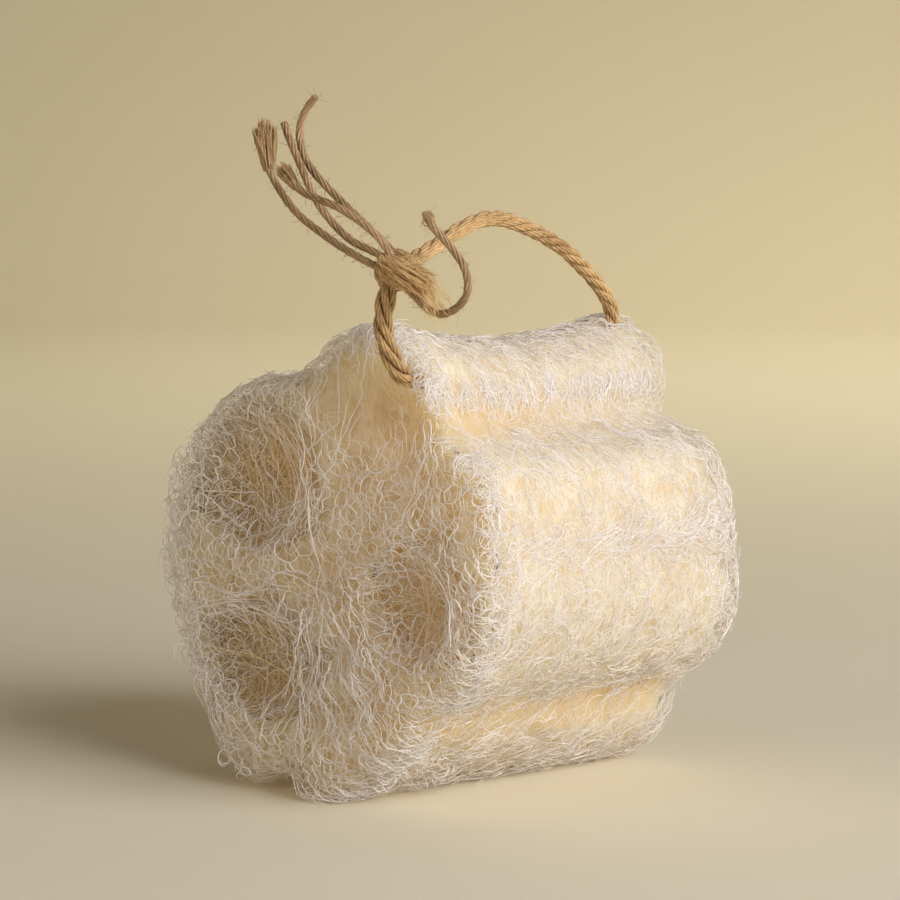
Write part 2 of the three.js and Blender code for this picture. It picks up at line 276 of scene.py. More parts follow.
def rods(rows):
    bm = bmesh.new()
    for middle, radii, axis, length, sides in rows:
        turn = Vector((0, 0, 1)).rotation_difference(Vector(axis)).to_matrix().to_4x4()
        stretch = Matrix.Diagonal((radii[0], radii[1], 1, 1))
        bmesh.ops.create_cone(
            bm,
            cap_ends=True,
            segments=sides,
            radius1=1,
            radius2=1,
            depth=length,
            matrix=Matrix.Translation(middle) @ turn @ stretch,
        )
    mesh = bpy.data.meshes.new("rods")
    bm.to_mesh(mesh)
    bm.free()
    return link("rods", mesh)


def cut_by(mesh, rows):
    cutter = rods(rows)
    obj = link("cut", mesh)
    cut = obj.modifiers.new("Boolean", "BOOLEAN")
    cut.operation = "DIFFERENCE"
    cut.solver = "MANIFOLD"
    cut.object = cutter
    made = evaluated(obj)
    bpy.data.objects.remove(cutter)
    return made


def within(ellipses, x, z):
    return min(((x - cx) / rx) ** 2 + ((z - cz) / rz) ** 2 for cx, cz, rx, rz in ellipses)


cavities = []
for front, back in zip(CHAMBERS[-1], CHAMBERS[1]):
    x, z, rx, rz = (np.array(front) + np.array(back)) / 2
    lean = (back[0] - front[0], 2 * FACE_Y, back[1] - front[1])
    cavities.append(((x, 0, z), (rx, rz), lean, CHAMBER_ROD, 28))
mat_mesh = felted(cut_by(sponge_mesh.copy(), cavities), 10)
bm = bmesh.new()
bm.from_mesh(mat_mesh)
bm.normal_update()
for vert in bm.verts:
    near, _ = noise.voronoi(vert.co * PIT_CELLS)
    pit = max(0.0, 0.6 - near[0]) * PIT_DEPTH
    if abs(vert.normal.y) > 0.6 and abs(vert.co.y) > FACE_Y - 0.008:
        smooth_top = vert.co.z > 0.070 and vert.co.x > -0.008
        vert.co.y -= math.copysign(pit * (2 if smooth_top else 5), vert.co.y)
    else:
        outward = Vector((vert.co.x, 0, vert.co.z - CORE.z)).normalized()
        vert.co -= outward * (WALL_RECESS + pit) * math.copysign(1, outward.dot(vert.normal))
    vert.co.y *= FACE_RECESS
for face in bm.faces:
    face.smooth = True
bm.to_mesh(mat_mesh)
bm.free()
rng = np.random.default_rng(3)
pores = []
for _ in range(WALL_PORES):
    level = rng.choice((rng.uniform(0.020, 0.036), rng.uniform(0.053, 0.077)))
    spot = (-0.040, rng.uniform(-0.038, 0.036), level)
    size = rng.uniform(0.0005, 0.0010)
    radii = (size, size * rng.uniform(0.8, 1.6))
    pores.append((spot, radii, (1, rng.normal(0, 0.15), 0), PORE_DEPTH, 6))
mat_mesh = cut_by(mat_mesh, pores)
for polygon in mat_mesh.polygons:
    polygon.use_smooth = True
# The "pit" attribute holds the share of painted shade, a darker tan: most at the middle of each pit,
# and never less than a set share inside the chambers, on the cut faces and in the grooves.
shade_shares = mat_mesh.attributes.new("pit", "FLOAT", "POINT")
for vert, pit in zip(mat_mesh.vertices, shade_shares.data):
    place = Vector((vert.co.x, vert.co.y / FACE_RECESS, vert.co.z))
    along = min(1.0, max(0.0, place.y / (2 * FACE_Y) + 0.5))
    mouths = zip(CHAMBERS[-1], CHAMBERS[1])
    here = [np.array(front) * (1 - along) + np.array(back) * along for front, back in mouths]
    least = FACE_SHADE if abs(place.y) > FACE_Y - 0.006 else 0.0
    if within(here, place.x, place.z) < 1.25:
        least = CHAMBER_SHADE
    for spot, reach in GROOVES:
        apart = math.hypot(place.x - spot[0], place.z - spot[2]) / reach
        least = max(least, min(GROOVE_SHADE, 1.7 - 1.2 * apart))
    pit.value = max(least, 1 - noise.voronoi(place * PIT_CELLS)[0][0] / 0.5)
mat = link("sponge_mat", mat_mesh)
mat_mesh.materials.clear()
mat_mesh.materials.append(
    fibre_material(
        "loofah mat",
        (0.79, 0.71, 0.56),
        (0.70, 0.58, 0.40),
        roughness=0.8,
        pattern=FELT,
        bump=0.5,
        glow=0.03,
        shade_tone=(0.70, 0.53, 0.28),
        sheer=(0.73, 0.68, 0.58),
    )
)
part_piece(mat, "sponge")

# Fibres of the outer wall
# Fine wiry fibres grown round the gourd, mostly upright on its side, felted into one skin.
# Each follows the form a little above the mat, wavers, and often ends loose.
WALL_FIBRES = 6200
PALE_FIBRES = 2500
FIBRE_RADIUS = 0.00009
OUTSIDE = 0.09  # from the core to clear of the wall


def cross_section(sides):
    curve = bpy.data.curves.new("section", "CURVE")
    curve.dimensions = "2D"
    spline = curve.splines.new("POLY")
    spline.points.add(sides - 1)
    for i, point in enumerate(spline.points):
        turn = 2 * math.pi * i / sides
        point.co = (math.cos(turn), math.sin(turn), 0, 1)
    spline.use_cyclic_u = True
    return link("section", curve)


def strands(name, routes, radii, material, sides=3, tip=0.4):
    curve = bpy.data.curves.new(name, "CURVE")
    curve.dimensions = "3D"
    section = cross_section(sides)
    curve.bevel_mode = "OBJECT"
    curve.bevel_object = section
    curve.use_fill_caps = True
    for route, radius in zip(routes, radii):
        spline = curve.splines.new("POLY")
        spline.points.add(len(route) - 1)
        places = np.ones((len(route), 4))
        places[:, :3] = route
        places[:, 2] = np.maximum(places[:, 2], radius)  # no strand lies below the table
        thick = np.full(len(route), radius)
        thick[0] = thick[-1] = radius * tip
        spline.points.foreach_set("co", places.ravel())
        spline.points.foreach_set("radius", thick)
    mesh = evaluated(link(name, curve))
    bpy.data.objects.remove(section)
    mesh.polygons.foreach_set("use_smooth", [True] * len(mesh.polygons))
    mesh.materials.clear()
    mesh.materials.append(material)
    return link(name, mesh)


def fibre_piece(name, routes, radii, material):
    part_piece(strands(name, routes, radii, material), "sponge")


def wall_start(rng):
    while True:
        turn = rng.uniform(0, 2 * math.pi)
        along = rng.uniform(-FACE_Y - 0.0005, FACE_Y + 0.0005)
        ray = Vector((math.cos(turn), 0, math.sin(turn)))
        place, normal, _, _ = FORM.ray_cast(CORE + Vector((0, along, 0)) + ray * OUTSIDE, -ray)
        if place is not None and abs(normal.y) < 0.75:
            return place, normal


def crawl(place, normal, heading, steps, stride, height, waver, rng):
    bend = 0.0
    turn = 0.0
    route = []
    for i in range(steps):
        route.append(place + normal * height[i])
        bend = 0.6 * bend - 0.25 * turn + rng.normal(0, waver)
        turn += bend
        ahead = heading - normal * heading.dot(normal)
        if ahead.length < 1e-4:
            break
        ahead.normalize()
        side = normal.cross(ahead)
        heading = ahead
        step = ahead * math.cos(turn) + side * math.sin(turn)
        found, found_normal, _, _ = FORM.find_nearest(place + step * stride)
        if found is None:
            break
        place, normal = found, found_normal
    return route


def in_groove(place):
    return any(math.hypot(place.x - spot[0], place.z - spot[2]) < reach for spot, reach in GROOVES)


def wall_fibres(count, seed, lift, waver, spread, groove_share):
    rng = np.random.default_rng(seed)
    routes, radii = [], []
    while len(routes) < count:
        place, normal = wall_start(rng)
        if in_groove(place) and rng.random() > groove_share:
            continue
        if place.x < -0.034 and 0.02 < place.z < 0.08 and rng.random() > 0.55:
            continue
        around = Vector((0, 1, 0)).cross(normal).normalized()
        angle = rng.normal(0, spread) + math.pi * rng.integers(2)
        heading = Matrix.Rotation(angle, 3, normal) @ around
        steps = int(rng.integers(7, 11))
        height = lift * rng.uniform(0.2, 1) + np.cumsum(rng.normal(0, 0.00012, steps))
        if rng.random() < 0.15:
            height += np.linspace(0, 1, steps) ** 3 * rng.uniform(0.0003, 0.0016)
        route = crawl(place, normal, heading, steps, rng.uniform(0.0009, 0.0016), height, waver, rng)
        if len(route) > 3:
            routes.append(route)
            radii.append(FIBRE_RADIUS * rng.uniform(0.65, 1.35))
    return routes, radii


SHEER = (0.70, 0.66, 0.60)
CREAM = fibre_material("loofah cream fibre", (0.85, 0.80, 0.765), (0.78, 0.695, 0.61), sheer=SHEER)
PALE = fibre_material("loofah pale fibre", (0.88, 0.845, 0.835), (0.82, 0.77, 0.74), sheer=SHEER)
for share in range(2):
    routes, radii = wall_fibres(WALL_FIBRES // 2, 11 + share, 0.0004, 0.5, 1.0, 0.3)
    fibre_piece(f"wall_fibres_{share + 1}", routes, radii, CREAM)
routes, radii = wall_fibres(PALE_FIBRES, 21, 0.0009, 0.45, 0.7, 0.05)
fibre_piece("wall_fibres_pale", routes, radii, PALE)

# Frizz of the wall
# Longer white strands: a fringe that hangs off the top roll over the tan groove, bundles that lie
# along the crease at mid height, and broken ends along the corner between wall and cut face.
FRINGE_STRANDS = 420
CREASE_STRANDS = 110
CORNER_STRANDS = 700
rng = np.random.default_rng(61)
routes, radii = [], []


def frizz(place, heading, steps, stride, lift, waver, radius):
    found, normal, _, _ = FORM.find_nearest(place)
    height = rng.uniform(0.3, 1) * lift + np.cumsum(rng.normal(0, 0.00015, steps))
    routes.append(crawl(found, normal, heading, steps, stride, height, waver, rng))
    radii.append(radius * rng.uniform(0.7, 1.3))


for _ in range(FRINGE_STRANDS):
    fringe = Vector((0.034, rng.uniform(-0.043, 0.037), rng.normal(0.0895, 0.0022)))
    frizz(fringe, Vector((0.1, rng.normal(0, 0.35), -1)), 7, 0.0011, 0.0007, 0.35, 0.00010)
for _ in range(CREASE_STRANDS):
    crease = Vector((0.052, rng.uniform(-0.042, 0.03), rng.normal(0.0545, 0.0016)))
    frizz(crease, Vector((0, 1, rng.normal(0, 0.18))), 12, 0.0015, 0.0014, 0.18, 0.00012)
for _ in range(CORNER_STRANDS):
    turn = rng.uniform(-1.5, 1.6)
    corner = CORE + Vector((math.cos(turn) * 0.06, rng.normal(-0.0425, 0.0018), math.sin(turn) * 0.06))
    heading = Vector((rng.normal(0, 0.5), rng.normal(0, 1), rng.normal(0, 1)))
    frizz(corner, heading, 7, 0.0010, 0.0013, 0.5, 0.00009)
fibre_piece("wall_frizz", routes, radii, PALE)

# Net of the cut faces
# Where the gourd was sliced the inner fibre shows: strands that meet in round-cornered cells, in
# several layers one behind the other, open over the seed chambers and thickest at the core.
NET_CELL = 0.0031
NET_LAYERS = (  # depth, share of the strands that are there, their radius and their fibre
    (0.0000, 1.0, 0.00014, PALE),
    (0.0014, 0.7, 0.00012, CREAM),
    (0.0028, 0.6, 0.00010, CREAM),
)
BACK_SHARE = 0.7
OPEN_HOLLOWS = {  # where the net leaves a gap on each face
    -1: (
        (-0.0090, 0.071, 0.0095, 0.0085),
        (-0.0155, 0.0205, 0.0092, 0.0050),
        (0.0150, 0.081, 0.0140, 0.0090),
        (0.0260, 0.0405, 0.0055, 0.0040),
    ),
    1: (
        (-0.0184, 0.062, 0.0150, 0.0120),
        (-0.0164, 0.026, 0.0120, 0.0090),
        (0.0186, 0.046, 0.0110, 0.0110),
    ),
}


def face_point(side, x, z):
    place, _, _, _ = FORM.ray_cast(Vector((x, side * 0.06, z)), Vector((0, -side, 0)), 0.026)
    inner = within(CHAMBERS[side], x, z)
    if inner < 1:
        return Vector((x, side * (FACE_Y - 0.0005 - 0.006 * (1 - inner)), z))
    return place


def net_graph(side, rng):
    seeds = np.zeros((0, 2))
    for _ in range(9000):
        x, z = rng.uniform(-0.05, 0.05), rng.uniform(0, 0.102)
        if within(OPEN_HOLLOWS[side], x, z) < 1 or face_point(side, x, z) is None:
            continue
        gap = NET_CELL * rng.uniform(0.45, 1.35)
        if len(seeds) == 0 or np.min(np.hypot(seeds[:, 0] - x, seeds[:, 1] - z)) > gap:
            seeds = np.vstack([seeds, (x, z)])
    flat = [Vector(seed) for seed in seeds]
    _, _, triangles, _, _, _ = geometry.delaunay_2d_cdt(flat, [], [], 0, 1e-7)
    nodes, shared, meets = [], {}, {}
    for corners in triangles:
        spot = seeds[list(corners)]
        if max(np.linalg.norm(spot - np.roll(spot, 1, axis=0), axis=1)) > 3.2 * NET_CELL:
            continue
        index = len(nodes)
        nodes.append(spot.mean(axis=0))
        for a, b in zip(corners, corners[1:] + corners[:1]):
            shared.setdefault(frozenset((a, b)), []).append(index)
    for pair in shared.values():
        if len(pair) == 2:
            meets.setdefault(pair[0], []).append(pair[1])
            meets.setdefault(pair[1], []).append(pair[0])
    return nodes, meets


def net_walks(nodes, meets, rng):
    unused = {frozenset((a, b)) for a in meets for b in meets[a]}
    walks = []
    for at in rng.permutation(list(meets)):
        walk = [nodes[at]]
        while len(walk) < 8:
            onward = [to for to in meets[at] if frozenset((at, to)) in unused]
            if not onward:
                break
            to = int(rng.choice(onward))
            unused.discard(frozenset((at, to)))
            walk.append(nodes[to])
            at = to
        if len(walk) > 1:
            walks.append(np.array(walk))
    return walks


def eased(points, count):
    points = np.asarray(points, float)
    ends = np.vstack([2 * points[0] - points[1], points, 2 * points[-1] - points[-2]])
    fine = []
    t = np.linspace(0, 1, count, endpoint=False)[:, None]
    for a, b, c, d in zip(ends, ends[1:], ends[2:], ends[3:]):
        bend = (2 * a - 5 * b + 4 * c - d) * t**2 + (3 * b - a - 3 * c + d) * t**3
        fine.append(0.5 * (2 * b + (c - a) * t + bend))
    return np.vstack(fine + [points[-1:]])


def net_strands(side, walks, depth, share, radius, rng):
    routes, radii = [], []
    for walk in walks:
        upper = walk[0][1] > 0.072 and walk[0][0] > -0.006
        if rng.random() > share * (0.3 if upper else 1):
            continue
        line = eased(walk + rng.normal(0, 0.00012, walk.shape), 3)
        rise = depth + np.cumsum(rng.normal(0, 0.00015, len(line)))
        route = []
        for (x, z), sunk in zip(line, rise):
            place = face_point(side, x, z)
            if place is None:
                break
            route.append(place - Vector((0, side * sunk, 0)))
        if len(route) > 3:
            routes.append(route)
            radii.append(radius * rng.uniform(0.6, 1.4))
    return routes, radii


for side, name in ((-1, "front"), (1, "back")):
    rng = np.random.default_rng(70 + side)
    for layer, (depth, share, radius, material) in enumerate(NET_LAYERS):
        walks = net_walks(*net_graph(side, rng), rng)
        share *= 1 if side < 0 else BACK_SHARE
        routes, radii = net_strands(side, walks, depth, share, radius, rng)
        fibre_piece(f"{name}_net_{layer + 1}", routes, radii, material)

# Ribs of the front face
# Bundles of strands that leave the core like spokes, ring the seed chambers and spread like roots at
# the bottom. They are the thickest fibre of the slice and stand a little proud of the net.
RIBS = (  # strands in each bundle, and the x, z in mm that it passes
    (4, (-0.5, 44), (-12, 46), (-24, 43), (-36, 44), (-44, 43)),
    (3, (-2, 41), (-14, 38), (-26, 40), (-38, 37), (-43, 39)),
    (5, (-0.5, 46), (-2, 56), (-3, 64), (0, 72), (5, 82), (8, 92)),
    (4, (2, 46), (9, 50), (16, 53), (24, 58), (31, 66), (35, 76)),
    (3, (6, 44), (13, 47.5), (20, 50), (27, 50), (33, 46.5), (36, 41), (35, 36)),
    (4, (5, 42), (11, 38), (16, 34), (21, 31), (28, 30), (33, 33), (36, 38)),
    (8, (0, 42), (1, 34), (0.5, 26), (0, 18), (-3, 10), (-6, 3)),
    (8, (2, 41), (6, 35), (9, 29), (13, 22), (17, 14), (20, 7)),
    (8, (-1, 40), (-3, 32), (-6, 24), (-10, 15), (-14, 8)),
    (7, (7, 33), (10, 31), (14, 30), (17, 26), (16, 21), (12, 19), (8, 22), (7, 28)),
    (6, (2, 20), (5, 16), (9, 15), (12, 11), (10, 6), (5, 5), (2, 9), (2, 15)),
    (5, (-36, 12), (-28, 10), (-20, 11), (-12, 12), (-6, 13)),
    (4, (-3, 64), (-2, 72), (-4, 80), (-8, 86)),
    (4, (-1, 62), (-8, 58.5), (-16, 58), (-26, 59), (-36, 62)),
)
rng = np.random.default_rng(31)
routes, radii = [], []
for count, *rib in RIBS:
    for _ in range(count):
        guide = np.array(rib) / 1000 + rng.normal(0, 0.0016, 2)
        guide = guide + rng.normal(0, 0.0016, guide.shape)
        guide = guide[int(rng.integers(0, 2)) : len(guide) - int(rng.integers(0, 2))]
        out = rng.uniform(-0.0012, 0.0006)
        line = eased(guide, 6)
        line += np.cumsum(rng.normal(0, 0.0004, line.shape), axis=0)
        route = []
        for x, z in line:
            place = face_point(-1, x, z)
            if place is not None:
                route.append(place + Vector((0, out, 0)))
        if len(route) > 4:
            routes.append(route)
            radii.append(rng.uniform(0.00008, 0.00016))
fibre_piece("front_ribs", routes, radii, PALE)

# Fuzz of the cut faces
# Fine broken fibre that the knife left between the strands of the net. It stands upright under the
# top of the slice and is tangled lower down.
FUZZ = ((-1, "front", 750), (1, "back", 500))
for side, name, count in FUZZ:
    rng = np.random.default_rng(90 + side)
    routes, radii = [], []
    while len(routes) < count:
        x, z = rng.uniform(-0.048, 0.048), rng.uniform(0, 0.1)
        turn = math.pi / 2 + rng.normal(0, 0.35 if z > 0.07 else 1.1)
        if within(OPEN_HOLLOWS[side], x, z) < 1 and rng.random() > 0.25:
            continue
        out = rng.uniform(-0.0006, 0.0022)
        stride = rng.uniform(0.0009, 0.0017)
        route = []
        for _ in range(7):
            place = face_point(side, x, z)
            if place is None:
                break
            route.append(place - Vector((0, side * out, 0)))
            turn += rng.normal(0, 0.45)
            out += rng.normal(0, 0.0002)
            x += stride * math.cos(turn)
            z += stride * math.sin(turn)
        if len(route) > 3:
            routes.append(route)
            radii.append(rng.uniform(0.00005, 0.00009))
    fibre_piece(f"{name}_fuzz", routes, radii, PALE)

# Curls at the left rim and the foot
# Wiry ends of the fibre that spring out of the thin left wall and the bottom edge as small open
# loops, and a lacy row of larger ones along the rim of the front face.
RIM_CURLS = 100
FOOT_CURLS = 50
LACE_LOOPS = 150


def curl(place, out, across, size, lift, width, arc):
    return [
        place + out * size * (lift - math.cos(a)) + across * size * width * math.sin(a) for a in arc
    ]


rng = np.random.default_rng(47)
routes, radii = [], []
while len(routes) < RIM_CURLS + FOOT_CURLS:
    turn = rng.uniform(2.5, 3.9) if len(routes) < RIM_CURLS else rng.uniform(4.0, 5.2)
    ray = Vector((math.cos(turn), 0, math.sin(turn)))
    start = CORE + Vector((0, rng.uniform(-0.044, -0.02), 0)) + ray * OUTSIDE
    place, normal, _, _ = FORM.ray_cast(start, -ray)
    if place is None or place.z < 0.003:
        continue
    across = normal.cross(Vector(rng.normal(0, 1, 3))).normalized()
    size = rng.uniform(0.0008, 0.0017)
    arc = np.linspace(0, rng.uniform(2.5, 5.2), 9)
    routes.append(curl(place, normal, across, size, 0.8, 1.3, arc))
    radii.append(rng.uniform(0.00008, 0.00014))
while len(routes) < RIM_CURLS + FOOT_CURLS + LACE_LOOPS:
    turn = rng.uniform(2.65, 3.65)
    ray = Vector((math.cos(turn), 0, math.sin(turn)))
    start = CORE + Vector((0, rng.uniform(-0.0445, -0.034), 0)) + ray * OUTSIDE
    place, normal, _, _ = FORM.ray_cast(start, -ray)
    if place is None:
        continue
    across = ray.cross(Vector((rng.normal(0, 0.5), 1, rng.normal(0, 0.5)))).normalized()
    size = rng.uniform(0.0010, 0.0022)
    arc = np.linspace(-0.6, rng.uniform(3.2, 5.6), 9)
    routes.append(curl(place, ray, across, size, 0.7, 1.2, arc))
    radii.append(rng.uniform(0.00007, 0.00012))
fibre_piece("rim_curls", routes, radii, PALE)

# Lining of the seed chambers
# Short fibres that lie round the walls of the three chambers, where the seeds were, and are grown into
# the mat. Their darker tan is painted shade of the chambers.
LINING_FIBRES = 450
# Darker, warmer fibre used only inside the chambers: painted shade.
SHADE_TAN = fibre_material("loofah tan fibre", (0.88, 0.76, 0.57), (0.80, 0.65, 0.42), sheer=SHEER)
rng = np.random.default_rng(41)
routes, radii = [], []
while len(routes) < LINING_FIBRES:
    x, z, _, _ = CHAMBERS[-1][len(routes) % 3]
    turn = rng.uniform(0, 2 * math.pi)
    start = Vector((x * 0.95, rng.uniform(-0.038, 0.038), z))
    ray = Vector((math.cos(turn), 0, math.sin(turn)))
    place, normal, _, _ = FORM.ray_cast(start, ray, 0.03)
    if place is None:
        continue
    heading = Matrix.Rotation(rng.normal(0, 0.8), 3, normal) @ Vector((0, 1, 0)).cross(normal)
    height = np.full(7, rng.uniform(0.0002, 0.0009))
    routes.append(crawl(place, normal, heading.normalized(), 7, 0.002, height, 0.3, rng))
    radii.append(rng.uniform(0.00008, 0.00016))
fibre_piece("chamber_lining", routes, radii, SHADE_TAN)

# Web across the seed chambers
# A loose web of finer threads, stretched from wall to wall of each chamber in several layers behind
# the cut faces, in the same darker tan painted shade.
WEB_DEPTHS = {-1: (0.004, 0.007, 0.010, 0.014, 0.019), 1: (0.005, 0.010)}
WEB_THREADS = 300000  # to the square metre, in each layer
routes, radii = [], []
for side, depths in WEB_DEPTHS.items():
    for depth in depths:
        for x, z, rx, rz in CHAMBERS[side]:
            for _ in range(round(rx * rz * WEB_THREADS)):
                turn = rng.uniform(0, 2 * math.pi) + np.array((0, math.pi + rng.normal(0, 0.8)))
                ends = np.stack([x + rx * np.cos(turn), z + rz * np.sin(turn)], axis=1)
                t = np.linspace(0, 1, 8)[:, None]
                line = ends[0] * (1 - t) + ends[1] * t
                line += np.cumsum(rng.normal(0, 0.0005, (8, 2)), axis=0)
                sunk = FACE_Y - depth - 0.003 * np.sin(t[:, 0] * math.pi) + rng.normal(0, 0.0008)
                routes.append([(across, side * y, up) for (across, up), y in zip(line, sunk)])
                radii.append(rng.uniform(0.00006, 0.00012))
fibre_piece("chamber_web", routes, radii, SHADE_TAN)

# Lip of the seed chambers
# Cream strands that hang in bows over the mouth of each chamber on the front face, where the net
# was torn and sank in.
LIP_DEPTHS = (0.0010, 0.0030, 0.0055)
LIP_THREADS = 180000  # to the square metre, in each layer
routes, radii = [], []
for depth in LIP_DEPTHS:
    for x, z, rx, rz in CHAMBERS[-1]:
        for _ in range(round(rx * rz * LIP_THREADS)):
            turn = rng.uniform(0, 2 * math.pi) + np.linspace(0, rng.uniform(0.7, 1.7), 8)
            bow = (1.04 - rng.uniform(0.05, 0.4) * np.sin(np.linspace(0, math.pi, 8)))[:, None]
            line = bow * np.stack([rx * np.cos(turn), rz * np.sin(turn)], axis=1)
            line += np.cumsum(rng.normal(0, 0.0004, (8, 2)), axis=0)
            sunk = FACE_Y - depth - 0.03 * (1.04 - bow[:, 0]) * rng.uniform(0.2, 1)
            routes.append([(x + across, -y, z + up) for (across, up), y in zip(line, sunk)])
            radii.append(rng.uniform(0.00007, 0.00013))
fibre_piece("chamber_lip", routes, radii, CREAM)

# Loop of jute twine
# Twine of brown jute, its strands twisted round a core. It is passed through the top of the sponge
# from the front to the back and brought over it to the knot.
LOOP_ROUTE = (
    (25.4, -47.6, 108.6), (24.8, -48.8, 104.4), (24.8, -49.4, 100.4), (25.5, -49.3, 96.6),
    (26.1, -48.1, 92.9), (25.2, -44.8, 89.9), (23.2, -39, 88.3), (20.4, -29, 87.6),
    (17.8, -17, 87.4), (15.6, -5, 87.4), (13.8, 7, 87.5), (12.4, 18, 87.8),
    (11.3, 27, 88.8), (10.6, 33.6, 91.4), (10.4, 36.4, 95), (10.7, 35.6, 99),
    (11.6, 31, 103.4), (12.6, 24.7, 107.6), (14, 15.2, 112.8), (15.8, 0.7, 117.8),
    (17.2, -10, 119.4), (18.3, -18.8, 118), (19.5, -28, 114.9), (21.6, -37, 112.2),
    (24, -43.5, 110.8),
)
TWINE_STEP = 0.0011
PLIES = 4
PLY_REACH = 0.00098
PLY_PITCH = 0.021
YARN_STRANDS = 6
YARN_REACH = 0.00052
YARN_PITCH = 0.015
YARN_RADIUS = 0.00030
JUTE_ROUGHNESS = 0.75
# Two copies of one jute: this lighter, more golden one for the loop and the knot is painted light, and
# the darker one of the tails is painted shade.
LIT_JUTE = fibre_material("jute yarn", (0.66, 0.45, 0.22), (0.36, 0.22, 0.10), JUTE_ROUGHNESS, bump=0.6)
JUTE_ENDS = fibre_material("jute cut fibre", (0.56, 0.38, 0.20), (0.38, 0.24, 0.12), JUTE_ROUGHNESS)


def lengths(line):
    return np.concatenate([[0], np.cumsum(np.linalg.norm(np.diff(line, axis=0), axis=1))])


def laid(route, spacing):
    fine = eased(np.array(route) / 1000, 12)
    gone = lengths(fine)
    marks = np.linspace(0, gone[-1], max(4, round(gone[-1] / spacing)))
    return np.stack([np.interp(marks, gone, fine[:, k]) for k in range(3)], axis=1)


def twisted(line, reach, pitch, phase):
    ahead = np.gradient(line, axis=0)
    ahead /= np.linalg.norm(ahead, axis=1)[:, None]
    out = [np.cross(ahead[0], (0.3, 0.5, 0.8))]
    for direction in ahead:
        across = out[-1] - direction * out[-1].dot(direction)
        out.append(across / np.linalg.norm(across))
    out = np.array(out[1:])
    turn = (2 * math.pi * lengths(line) / pitch + phase)[:, None]
    around = np.cos(turn) * out + np.sin(turn) * np.cross(ahead, out)
    return line + np.reshape(reach, (-1, 1)) * around


def yarn(line, phase=0.0):
    turns = [phase + 2 * math.pi * i / YARN_STRANDS for i in range(YARN_STRANDS)]
    routes = [twisted(line, YARN_REACH, YARN_PITCH, turn) for turn in turns]
    return routes + [line], [YARN_RADIUS] * YARN_STRANDS + [YARN_RADIUS * 1.2]


def rope(line, fullness=1.0):
    routes, radii = [], []
    for ply in range(PLIES):
        turn = 2 * math.pi * ply / PLIES
        more, thick = yarn(twisted(line, PLY_REACH * fullness, -PLY_PITCH, turn), phase=ply)
        routes += more
        radii += thick
    routes.append(line)
    radii.append(YARN_REACH + YARN_RADIUS)
    return routes, radii


loop_line = laid(LOOP_ROUTE, TWINE_STEP)
loop_fullness = np.interp(lengths(loop_line), (0, 0.004, 0.018, 0.030), (1.1, 1.3, 1.3, 0.92))
loop = strands("twine_loop_rope", *rope(loop_line, loop_fullness), LIT_JUTE, sides=4, tip=1)
part_piece(loop, "twine_loop")

# Knot of the twine
# The doubled ends are wrapped round each other and pulled tight. One cut end stands out of the knot
# towards the right, its fibres loosened into an ochre brush.
KNOT_CENTRE = Vector((0.0252, -0.0466, 0.1104))
KNOT_WRAPS = ((0.0027, (0.2, 0.9, 0.3)), (0.0028, (1.15, -0.5, 0.4)), (0.0022, (0.7, 0.2, 1.2)))
CUT_END_ROOT = Vector((0.0243, -0.0482, 0.1118))
CUT_END_TIP = Vector((0.0372, -0.0492, 0.1076))
routes, radii = [], []
for reach, turn in KNOT_WRAPS:
    tilt = Euler(turn).to_matrix()
    ring = [
        KNOT_CENTRE + tilt @ Vector((math.cos(a) * reach, math.sin(a) * reach, 0))
        for a in np.linspace(0, 2 * math.pi * 1.05, 34)
    ]
    more, thick = rope(np.array(ring))
    routes += more
    radii += thick
knot = strands("twine_knot_wraps", routes, radii, LIT_JUTE, sides=4, tip=1)
part_piece(knot, "twine_knot")


def brush(root, tip, root_reach, tip_reach, count, radius, loose, rng):
    root, tip = np.array(root), np.array(tip)
    axis = tip - root
    routes, radii = [], []
    for _ in range(count):
        spot = rng.normal(0, 1, 3)
        spot -= axis * spot.dot(axis) / axis.dot(axis)
        spot *= rng.uniform(0, 1) ** 0.5 / np.linalg.norm(spot)
        far = rng.uniform(0.82, 1.1) - 0.22 * spot.dot(spot)
        waver = np.cumsum(rng.normal(0, loose, (6, 3)), axis=0)
        t = np.linspace(0, 1, 6)[:, None]
        reach = root_reach + (tip_reach - root_reach) * t
        routes.append(root + axis * t * far + spot * reach + waver)
        radii.append(radius * rng.uniform(0.7, 1.3))
    return routes, radii


CUT_FIBRE = fibre_material("jute ochre fibre", (0.93, 0.70, 0.38), (0.82, 0.55, 0.24), JUTE_ROUGHNESS)
rng = np.random.default_rng(51)
routes, radii = brush(CUT_END_ROOT, CUT_END_TIP, 0.0017, 0.0023, 460, 0.00010, 0.00034, rng)
fallen = CUT_END_TIP + Vector((0.0035, -0.0004, -0.0055))
more, thick = brush(CUT_END_TIP, fallen, 0.0016, 0.0026, 60, 0.00005, 0.00045, rng)
cut_end = strands("twine_knot_cut_end", routes + more, radii + thick, CUT_FIBRE, tip=0.7)
part_piece(cut_end, "twine_knot")

